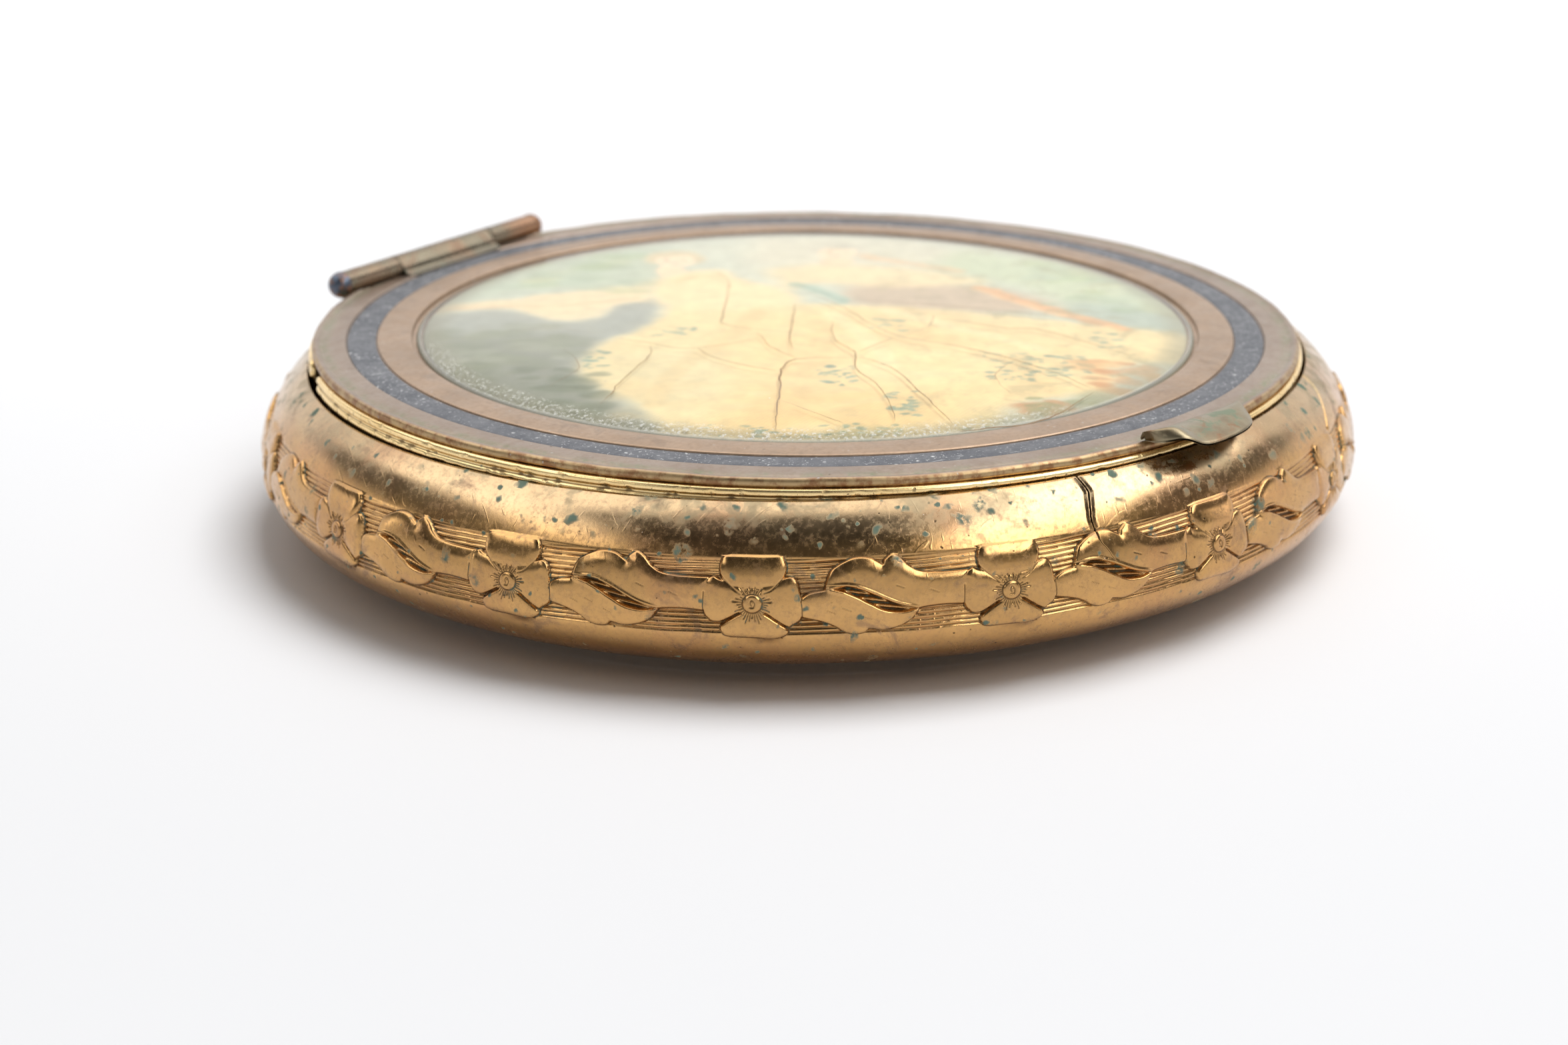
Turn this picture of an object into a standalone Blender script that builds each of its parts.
"""Round brass powder compact, closed, with a picture under a clear cover on its lid.

The model is in metres with +Z up. Its origin is the middle of the flat foot under the base. The hinge is at
+Y with its axis along X, and the lid opens upwards and backwards. Sizes below are in millimetres.
"""

import math

import bmesh
import bpy

MM = 0.001
STEPS = 64

# Base: a pillow-shaped wall of thin sheet, from the mouth down over the bulge to the seam underneath.
BODY_R = 37.5
BULGE_Z = 5.0
MOUTH_R = 34.2
SHOULDER_HIGH = 6.9
SHOULDER_WIDE = 5.6
BELLY_HIGH = 3.7
BELLY_WIDE = 4.5
SHEET = 0.45
FOOT_R = 22.0

# Things kept inside the base, from the wall inwards and from the bottom up.
COLLAR_R = 32.1
COLLAR_TOP = 9.6
PAN_R = 31.4
PAN_FLOOR = 1.95
PAN_TOP = 8.9
GAP = 0.3

# Lid: heights of its pieces are measured from the flat of the lid, which leans down from hinge to thumb tab.
LID_R = 33.75
LID_Z = 12.7
LID_LEAN = 1.0
LID_SHEET = 0.33
PICTURE_R = 26.45
PICTURE_WELL_R = 26.75
PICTURE_WELL = 0.35
BAND_IN_R = 29.4
BAND_OUT_R = 31.45
BAND_DEEP = 0.18
RING_R = 34.0
TAB_AZIMUTH = 256.0
RING_GAP_AZIMUTH = 139.5
RING_GAP = 2.9

# Hinge: two knuckles on the base outside one on the lid, on a riveted pin.
HINGE_Y = 32.8
AXIS_OVER_LID = 0.4
KNUCKLE_R = 0.85
BORE_R = 0.44
PIN_R = 0.40
LID_KNUCKLE_HALF = 5.3
BASE_KNUCKLE_FROM = 5.45
BASE_KNUCKLE_TO = 10.95
NOTCH_HALF = 11.65
NOTCH_Y = 31.7

HINGE_Z = LID_Z + HINGE_Y * math.sin(math.radians(LID_LEAN)) + AXIS_OVER_LID


def clear_scene():
    for obj in list(bpy.data.objects):
        bpy.data.objects.remove(obj)


def collection(name):
    made = bpy.data.collections.new(name)
    bpy.context.scene.collection.children.link(made)
    return made


def material(name, colour, roughness, metallic=0.0, clear=0.0):
    made = bpy.data.materials.new(name)
    made.use_nodes = True
    shader = made.node_tree.nodes["Principled BSDF"]
    shader.inputs["Base Color"].default_value = (*colour, 1.0)
    shader.inputs["Roughness"].default_value = roughness
    shader.inputs["Metallic"].default_value = metallic
    shader.inputs["Transmission Weight"].default_value = clear
    return made


def finish(obj, name, look, parent=None):
    """Names an object, moves it to the model's collection and gives it its material and its parent."""
    obj.name = name
    obj.data.name = name
    for held in list(obj.users_collection):
        held.objects.unlink(obj)
    PARTS.objects.link(obj)
    obj.data.materials.clear()
    obj.data.materials.append(look)
    obj.parent = parent
    return obj


def arc(centre_r, centre_z, wide, high, start, stop, count):
    """Points on an ellipse, with angles in degrees from +R towards +Z."""
    angles = [math.radians(start + (stop - start) * i / count) for i in range(count + 1)]
    return [(centre_r + wide * math.cos(a), centre_z + high * math.sin(a)) for a in angles]


def turned(name, profile, look, closed, parent=None, at=(0, 0, 0), steps=STEPS):
    """A turned piece: the (radius, height) profile runs down its outer side. An open one starts and ends on the axis."""
    mesh = bpy.data.meshes.new(name)
    count = len(profile)
    edges = [(i, i + 1) for i in range(count - 1)]
    if closed:
        edges.append((count - 1, 0))
    mesh.from_pydata([(r * MM, 0, z * MM) for r, z in profile], edges, [])
    obj = bpy.data.objects.new(name, mesh)
    finish(obj, name, look, parent)
    obj.location = [v * MM for v in at]
    screw = obj.modifiers.new("Screw", "SCREW")
    screw.steps = steps
    screw.render_steps = steps
    screw.use_merge_vertices = True
    screw.merge_threshold = 0.00001
    screw.use_smooth_shade = True
    return obj


def lid_turned(name, profile, look, closed):
    """A turned piece of the lid, with heights measured from the flat of the lid."""
    return turned(name, profile, look, closed, LID, (0, -HINGE_Y, -AXIS_OVER_LID))


def box(name, low, high, parent=None):
    """A box between two corners in millimetres, made from the cube primitive with its scale applied."""
    middle = [(a + b) / 2 * MM for a, b in zip(low, high)]
    size = [(b - a) * MM for a, b in zip(low, high)]
    bpy.ops.mesh.primitive_cube_add(size=1, location=middle)
    obj = bpy.context.active_object
    obj.scale = size
    bpy.ops.object.transform_apply(location=False, rotation=False, scale=True)
    obj.name = name
    obj.parent = parent
    return obj


def rod(name, radius, from_x, to_x, y, z, sides=24, parent=None):
    """A cylinder along X, made from the cylinder primitive."""
    bpy.ops.mesh.primitive_cylinder_add(
        vertices=sides,
        radius=radius * MM,
        depth=(to_x - from_x) * MM,
        location=((from_x + to_x) / 2 * MM, y * MM, z * MM),
        rotation=(0, math.radians(90), 0),
    )
    obj = bpy.context.active_object
    obj.name = name
    obj.parent = parent
    return obj


def cutter(obj):
    """Keeps a helper solid out of the model, to be used only by Boolean modifiers."""
    for held in list(obj.users_collection):
        held.objects.unlink(obj)
    CUTTERS.objects.link(obj)
    obj.hide_render = True
    obj.display_type = "WIRE"
    return obj


def boolean(obj, operation, other):
    made = obj.modifiers.new(f"{operation.title()} {other.name}", "BOOLEAN")
    made.operation = operation
    made.object = cutter(other)
    made.solver = "EXACT"


def prism(name, outline, from_x, to_x, parent=None):
    """A flat (y, z) outline as a filled 2D curve, extruded along X and made a mesh."""
    curve = bpy.data.curves.new(name, "CURVE")
    curve.dimensions = "2D"
    curve.fill_mode = "BOTH"
    curve.extrude = (to_x - from_x) / 2 * MM
    spline = curve.splines.new("POLY")
    spline.points.add(len(outline) - 1)
    for point, (y, z) in zip(spline.points, outline):
        point.co = (y * MM, z * MM, 0, 1)
    spline.use_cyclic_u = True
    drawn = bpy.data.objects.new(name, curve)
    bpy.context.scene.collection.objects.link(drawn)
    bpy.context.view_layer.update()
    mesh = bpy.data.meshes.new_from_object(drawn.evaluated_get(bpy.context.evaluated_depsgraph_get()))
    bpy.data.objects.remove(drawn)
    welded = bmesh.new()
    welded.from_mesh(mesh)
    bmesh.ops.remove_doubles(welded, verts=welded.verts, dist=0.000001)
    welded.to_mesh(mesh)
    welded.free()
    obj = bpy.data.objects.new(name, mesh)
    bpy.context.scene.collection.objects.link(obj)
    obj.location = ((from_x + to_x) / 2 * MM, 0, 0)
    obj.rotation_euler = (math.radians(90), 0, math.radians(90))
    obj.parent = parent
    return obj


def sheet(name, place, columns, rows, thick, look, parent=None):
    """A bent sheet: place(u, v) gives its lower face in millimetres for u and v from 0 to 1."""
    mesh = bpy.data.meshes.new(name)
    grid = bmesh.new()
    bmesh.ops.create_grid(grid, x_segments=columns, y_segments=rows, size=0.5)
    for vert in grid.verts:
        vert.co = [c * MM for c in place(vert.co.x + 0.5, vert.co.y + 0.5)]
    bmesh.ops.recalc_face_normals(grid, faces=grid.faces)
    if sum(face.normal.z for face in grid.faces) < 0:
        bmesh.ops.reverse_faces(grid, faces=grid.faces)
    grid.to_mesh(mesh)
    grid.free()
    obj = finish(bpy.data.objects.new(name, mesh), name, look, parent)
    solid = obj.modifiers.new("Solidify", "SOLIDIFY")
    solid.thickness = thick * MM
    solid.offset = 1
    return obj


def shoulder_z(r, over=0.0):
    """Height of the base's outer surface above the bulge at radius r, plus a distance over it."""
    across = (r - (BODY_R - SHOULDER_WIDE)) / SHOULDER_WIDE
    return BULGE_Z + SHOULDER_HIGH * math.sqrt(1 - across * across) + over


def dome(radius, top):
    """The upper half of the picture's cover or card: nearly flat, rolling down at its edge to the well's floor."""
    foot = 0.05 - PICTURE_WELL
    points = []
    for share in (0, 0.6, 0.85, 0.95, 1):
        points.append((radius * share, foot + (top - foot) * math.sqrt(1 - share**7)))
    return points


def build_base():
    shoulder_r = BODY_R - SHOULDER_WIDE
    belly_r = BODY_R - BELLY_WIDE
    mouth = math.degrees(math.acos((MOUTH_R - shoulder_r) / SHOULDER_WIDE))
    mouth_in = math.degrees(math.acos((MOUTH_R - shoulder_r) / (SHOULDER_WIDE - SHEET)))
    outside = arc(shoulder_r, BULGE_Z, SHOULDER_WIDE, SHOULDER_HIGH, mouth, 0, 8)
    outside += arc(belly_r, BULGE_Z, BELLY_WIDE, BELLY_HIGH, 0, -90, 7)[1:]
    inside = arc(belly_r, BULGE_Z, BELLY_WIDE - SHEET, BELLY_HIGH - SHEET, -90, 0, 5)
    inside += arc(shoulder_r, BULGE_Z, SHOULDER_WIDE - SHEET, SHOULDER_HIGH - SHEET, 0, mouth_in, 6)[1:]
    turned("base_case", outside + inside, BRASS, closed=True)

    seam_z = BULGE_Z - BELLY_HIGH
    bottom_r = belly_r - GAP
    bottom = [
        (0, 0.4),
        (FOOT_R, 0.4),
        (bottom_r - 0.3, seam_z + 0.35),
        (bottom_r, seam_z + 0.25),
        (bottom_r, seam_z),
        (bottom_r - 0.4, seam_z - 0.1),
        (FOOT_R + 0.3, 0),
        (0, 0),
    ]
    turned("base_bottom", bottom, BRASS_WORN, closed=False)

    wall = COLLAR_R - 0.4
    collar_low = seam_z + 0.65
    collar = [
        (wall, COLLAR_TOP),
        (COLLAR_R + 1.1, COLLAR_TOP),
        (COLLAR_R + 1.1, COLLAR_TOP - 0.3),
        (COLLAR_R, COLLAR_TOP - 0.3),
        (COLLAR_R, collar_low),
        (wall, collar_low),
    ]
    turned("base_collar", collar, BRASS_WORN, closed=True)


def build_filling():
    floor = PAN_FLOOR + 0.35
    inner = PAN_R - 0.3
    pan = [
        (0, floor),
        (inner - 0.4, floor),
        (inner, floor + 0.4),
        (inner, PAN_TOP),
        (PAN_R, PAN_TOP),
        (PAN_R, PAN_FLOOR + 0.4),
        (PAN_R - 0.4, PAN_FLOOR),
        (0, PAN_FLOOR),
    ]
    turned("powder_pan", pan, BRASS_WORN, closed=False)

    cake_low = floor + GAP
    cake_r = inner - GAP
    cake = [
        (0, cake_low + 1.5),
        (0.45 * cake_r, cake_low + 1.6),
        (0.85 * cake_r, cake_low + 2.0),
        (cake_r - 0.4, cake_low + 2.1),
        (cake_r, cake_low + 1.8),
        (cake_r, cake_low + 0.4),
        (cake_r - 0.5, cake_low),
        (0, cake_low),
    ]
    turned("powder_cake", cake, POWDER, closed=False)

    ring_low = cake_low + 2.1 + GAP
    ring = [(cake_r - 1.5, ring_low + 0.6), (cake_r, ring_low + 0.6), (cake_r, ring_low), (cake_r - 1.5, ring_low)]
    turned("sifter_ring", ring, BRASS_WORN, closed=True)
    gauze_low = ring_low + 0.6 + GAP
    gauze_r = cake_r - 0.2
    gauze = [(0, gauze_low + 0.15), (gauze_r, gauze_low + 0.15), (gauze_r, gauze_low), (0, gauze_low)]
    turned("sifter_gauze", gauze, CLOTH, closed=False)

    puff_low = gauze_low + 0.15 + GAP
    puff_r = 27.5
    pad = [(0, puff_low + 1.75)]
    pad += arc(puff_r - 1.2, puff_low + 0.85, 1.2, 0.85, 90, -90, 4)
    pad += [(0, puff_low)]
    turned("puff_pad", pad, CLOTH, closed=False)
    top_low = puff_low + 1.75 + GAP
    top_r = puff_r - 1.2
    top = [(0, top_low + 0.3), (top_r - 0.3, top_low + 0.3), (top_r, top_low), (0, top_low)]
    turned("puff_top", top, SATIN, closed=False)

    ribbon_low = top_low + 0.3 + 0.15

    def ribbon(u, v):
        along = (u - 0.5) * 2 * (top_r - 3.0)
        return (along, (v - 0.5) * 7.0, ribbon_low + 0.1 * math.cos(math.pi * (u - 0.5)))

    sheet("puff_ribbon", ribbon, 10, 2, 0.15, SATIN)


def build_base_hinge():
    strap_in = MOUTH_R + 0.07
    strap_out = strap_in + 1.8
    radii = [strap_in + (strap_out - strap_in) * i / 4 for i in range(5)]
    over = [(r, shoulder_z(r, 0.35)) for r in radii]
    under = [(r, shoulder_z(r, 0.08)) for r in reversed(radii)]
    web_top = HINGE_Z - 0.3
    bend = HINGE_Z - 0.95
    web = [(strap_in - 0.9, web_top), (strap_in - 0.45, web_top), (strap_in + 0.35, bend)]
    leaf = turned("base_hinge_leaf", web + over[1:] + under + [(strap_in, bend)], BRASS_WORN, closed=True)
    boolean(leaf, "INTERSECT", box("leaf_reach", (-BASE_KNUCKLE_TO, 31.95, 5), (BASE_KNUCKLE_TO, 40, 20)))
    boolean(leaf, "DIFFERENCE", box("leaf_middle", (-BASE_KNUCKLE_FROM, 30, 11.75), (BASE_KNUCKLE_FROM, 38, 20)))
    for side, start, stop in (
        ("left", -BASE_KNUCKLE_TO, -BASE_KNUCKLE_FROM),
        ("right", BASE_KNUCKLE_FROM, BASE_KNUCKLE_TO),
    ):
        boolean(leaf, "UNION", rod(f"knuckle_{side}", KNUCKLE_R, start, stop, HINGE_Y, HINGE_Z))
    boolean(leaf, "DIFFERENCE", rod("base_bore", BORE_R, -15, 15, HINGE_Y, HINGE_Z))

    head = BASE_KNUCKLE_TO + 0.05
    end = head + 0.35
    half = [(0, end), (0.35, end), (0.7, end - 0.15), (0.7, head), (PIN_R, head)]
    pin = turned("hinge_pin", half + [(r, -z) for r, z in reversed(half)], STEEL, closed=False, steps=20)
    pin.location = (0, HINGE_Y * MM, HINGE_Z * MM)
    pin.rotation_euler = (0, math.radians(90), 0)


def build_lid_shell():
    """The lid's sheet: a well for the picture, a groove for the dark band and a rolled bead round the edge."""
    under_well = PICTURE_WELL_R + LID_SHEET
    profile = [
        (0, -PICTURE_WELL),
        (PICTURE_WELL_R, -PICTURE_WELL),
        (PICTURE_WELL_R, 0),
        (BAND_IN_R, 0),
        (BAND_IN_R, -BAND_DEEP),
        (BAND_OUT_R, -BAND_DEEP),
        (BAND_OUT_R, 0),
        (LID_R - 0.9, 0),
        (LID_R - 0.7, -0.06),
        (LID_R - 0.5, 0.04),
        (LID_R - 0.28, 0.12),
        (LID_R - 0.08, 0.04),
        (LID_R, -0.12),
        (LID_R, -0.32),
        (LID_R - 0.1, -0.42),
        (LID_R - 0.4, -0.42),
        (LID_R - 0.5, -LID_SHEET),
        (under_well, -LID_SHEET),
        (under_well, -PICTURE_WELL - LID_SHEET),
        (0, -PICTURE_WELL - LID_SHEET),
    ]
    shell = lid_turned("lid_shell", profile, BRASS, closed=False)
    near = NOTCH_Y - HINGE_Y
    boolean(shell, "DIFFERENCE", box("hinge_notch", (-NOTCH_HALF, near, -3), (NOTCH_HALF, 5, 3), LID))


def build_lid_face():
    band = [
        (BAND_IN_R + 0.1, -0.02),
        (BAND_OUT_R - 0.1, -0.02),
        (BAND_OUT_R - 0.1, 0.03 - BAND_DEEP),
        (BAND_IN_R + 0.1, 0.03 - BAND_DEEP),
    ]
    lid_turned("enamel_band", band, DARK_BAND, closed=True)
    card = dome(PICTURE_R - 0.45, 0.2) + dome(PICTURE_R - 0.65, 0.0)[::-1]
    lid_turned("picture_card", card, CARD, closed=False)
    cover = dome(PICTURE_R, 0.5) + dome(PICTURE_R - 0.2, 0.3)[::-1]
    lid_turned("picture_cover", cover, COVER, closed=False)


def build_lid_inside():
    glass_r = RING_R - 1.45
    backing = [(0, -0.78), (glass_r - 0.1, -0.78), (glass_r - 0.1, -0.98), (0, -0.98)]
    lid_turned("mirror_backing", backing, CARD, closed=False)
    glass = [
        (0, -1.05),
        (glass_r - 0.2, -1.05),
        (glass_r, -1.2),
        (glass_r, -1.7),
        (glass_r - 0.4, -2.0),
        (0, -2.0),
    ]
    lid_turned("mirror_glass", glass, MIRROR, closed=False)
    ring = [
        (RING_R - 0.55, -0.62),
        (RING_R - 0.25, -0.62),
        (RING_R, -0.76),
        (RING_R, -1.0),
        (RING_R - 0.17, -1.14),
        (RING_R, -1.28),
        (RING_R, -1.54),
        (RING_R - 0.2, -1.72),
        (RING_R - 0.25, -2.15),
        (RING_R - 0.4, -2.3),
        (RING_R - 2.05, -2.3),
        (RING_R - 2.05, -2.08),
        (RING_R - 0.65, -2.08),
        (RING_R - 0.55, -2.0),
    ]
    made = lid_turned("mirror_ring", ring, GILT, closed=True)
    slit = box("ring_slit", (25, -RING_GAP / 2, -4), (40, RING_GAP / 2, 2), LID)
    slit.data.transform(slit.matrix_basis)
    slit.location = (0, -HINGE_Y * MM, -AXIS_OVER_LID * MM)
    slit.rotation_euler = (0, 0, math.radians(RING_GAP_AZIMUTH))
    boolean(made, "DIFFERENCE", slit)


def build_lid_hinge():
    """The lid's leaf: a plate under the sheet, a knuckle, and a fillet that carries the lid's face up to it."""
    plate_top = -AXIS_OVER_LID - LID_SHEET - 0.03
    plate_low = plate_top - 0.24
    leaf = prism(
        "lid_hinge_leaf",
        [(-5.0, plate_low), (0.1, plate_low), (0.1, plate_top), (-5.0, plate_top)],
        -LID_KNUCKLE_HALF,
        LID_KNUCKLE_HALF,
        LID,
    )
    finish(leaf, "lid_hinge_leaf", BRASS, LID)
    boolean(leaf, "UNION", rod("knuckle_lid", KNUCKLE_R, -LID_KNUCKLE_HALF, LID_KNUCKLE_HALF, 0, 0, parent=LID))
    toe = 0.04 - AXIS_OVER_LID
    fillet = [(-1.4, toe), (0, toe), (0, 0.6), (-0.6, 0.42), (-0.8, 0.0), (-0.98, -0.22)]
    boolean(leaf, "UNION", prism("fillet", fillet, -LID_KNUCKLE_HALF, LID_KNUCKLE_HALF, LID))
    boolean(leaf, "DIFFERENCE", rod("lid_bore", BORE_R, -15, 15, 0, 0, parent=LID))


def build_thumb_tab():
    root_r = LID_R - 0.45
    reach = 3.2
    half_width = 4.1

    def tongue(u, v):
        across = (v - 0.5) * 2
        wide = half_width * math.sqrt(1 - (0.93 * u) ** 4)
        height = 0.17 + 0.3 * math.sin(math.pi * u) * (1 - 0.4 * across**2) - 1.0 * u**3
        return (root_r + reach * u, wide * across, height)

    tab = sheet("thumb_tab", tongue, 8, 8, 0.28, BRASS, LID)
    tab.location = (0, -HINGE_Y * MM, -AXIS_OVER_LID * MM)
    tab.rotation_euler = (0, 0, math.radians(TAB_AZIMUTH))


clear_scene()
PARTS = collection("powder_compact")
CUTTERS = collection("cutters")
BRASS = material("aged_brass", (0.56, 0.40, 0.22), 0.34, metallic=1.0)
BRASS_WORN = material("worn_brass", (0.48, 0.36, 0.22), 0.42, metallic=1.0)
GILT = material("gilt_brass", (0.78, 0.57, 0.27), 0.28, metallic=1.0)
DARK_BAND = material("dark_enamel", (0.10, 0.105, 0.12), 0.7)
CARD = material("card", (0.66, 0.63, 0.50), 0.8)
COVER = material("clear_cover", (0.93, 0.90, 0.78), 0.12, clear=0.9)
MIRROR = material("mirror", (0.86, 0.88, 0.88), 0.04, metallic=1.0)
STEEL = material("pin_steel", (0.22, 0.23, 0.26), 0.45, metallic=1.0)
POWDER = material("face_powder", (0.82, 0.62, 0.50), 0.95)
CLOTH = material("puff_cloth", (0.80, 0.68, 0.60), 0.95)
SATIN = material("satin", (0.72, 0.50, 0.47), 0.5)

LID = bpy.data.objects.new("lid_hinge_axis", None)
PARTS.objects.link(LID)
LID.location = (0, HINGE_Y * MM, HINGE_Z * MM)
LID.rotation_euler = (math.radians(LID_LEAN), 0, 0)

build_base()
build_filling()
build_base_hinge()
build_lid_shell()
build_lid_face()
build_lid_inside()
build_lid_hinge()
build_thumb_tab()
